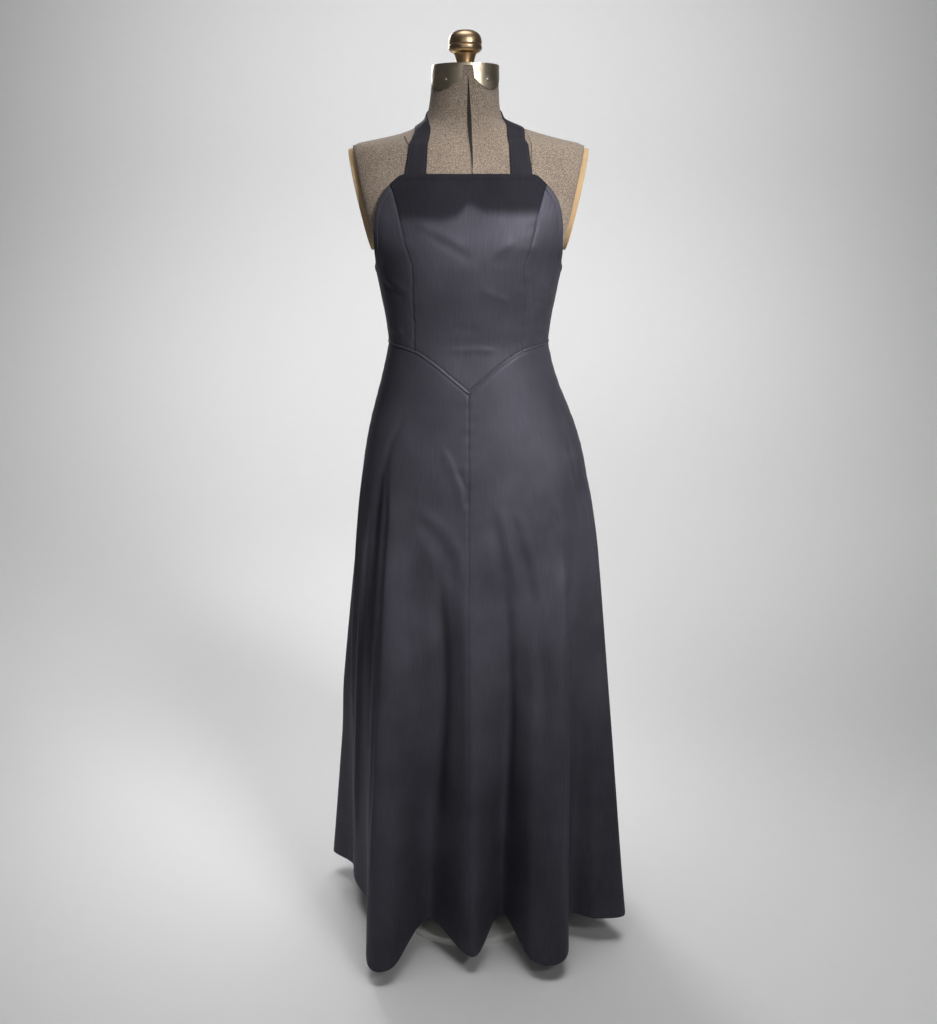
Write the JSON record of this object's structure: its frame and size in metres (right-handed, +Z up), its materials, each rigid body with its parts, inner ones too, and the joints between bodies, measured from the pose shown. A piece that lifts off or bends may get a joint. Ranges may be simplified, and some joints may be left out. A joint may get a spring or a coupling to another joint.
{
  "type": "halter dress on a dress form",
  "caption": "Floor-length satin halter dress with a pointed waist and a fluted skirt, worn by a limbless dress form on a round-footed stand.",
  "frame": {"origin": "middle of the flat underside of the stand's foot, on the floor", "axes": "+Z up; -Y is the way the dress faces; +X to the right as seen from the front"},
  "size_m": [0.5301, 0.4729, 1.4887],
  "materials": {
    "black_satin": "soft satin sheen, blue-black",
    "zip_tape": "matte woven tape with nylon teeth",
    "zip_metal": "black lacquered metal",
    "flecked_jersey": "matte flecked grey-brown knit",
    "tan_board": "matte tan board",
    "brass": "aged satin brass",
    "steel_tube": "brushed",
    "cream_enamel": "smooth cream enamel"
  },
  "bodies": {
    "dress_and_form": {"bodice_centre_front": "black_satin", "bodice_side_front_left": "black_satin", "bodice_side_front_right": "black_satin", "bodice_back_left": "black_satin", "bodice_back_right": "black_satin", "skirt_front_left": "black_satin", "skirt_front_right": "black_satin", "skirt_back_left": "black_satin", "skirt_back_right": "black_satin", "halter_strap": "black_satin", "zip_chain": "zip_tape", "zip_slider": "zip_metal", "form_torso": "flecked_jersey", "form_arm_plate_left": "tan_board", "form_arm_plate_right": "tan_board", "form_neck_cap": "brass", "form_knob": "brass", "stand_pole": "steel_tube", "stand_foot": "cream_enamel"},
    "zip_pull_tab": {"zip_pull": "zip_metal"}
  },
  "joints": [
    {"name": "zip_pull_hinge", "type": "hinge", "parent": "dress_and_form", "child": "zip_pull_tab", "pos_m": [0, 0.09242, 1.09638], "axis": [1, 0, 0], "range_deg": [-10, 160]}
  ]
}
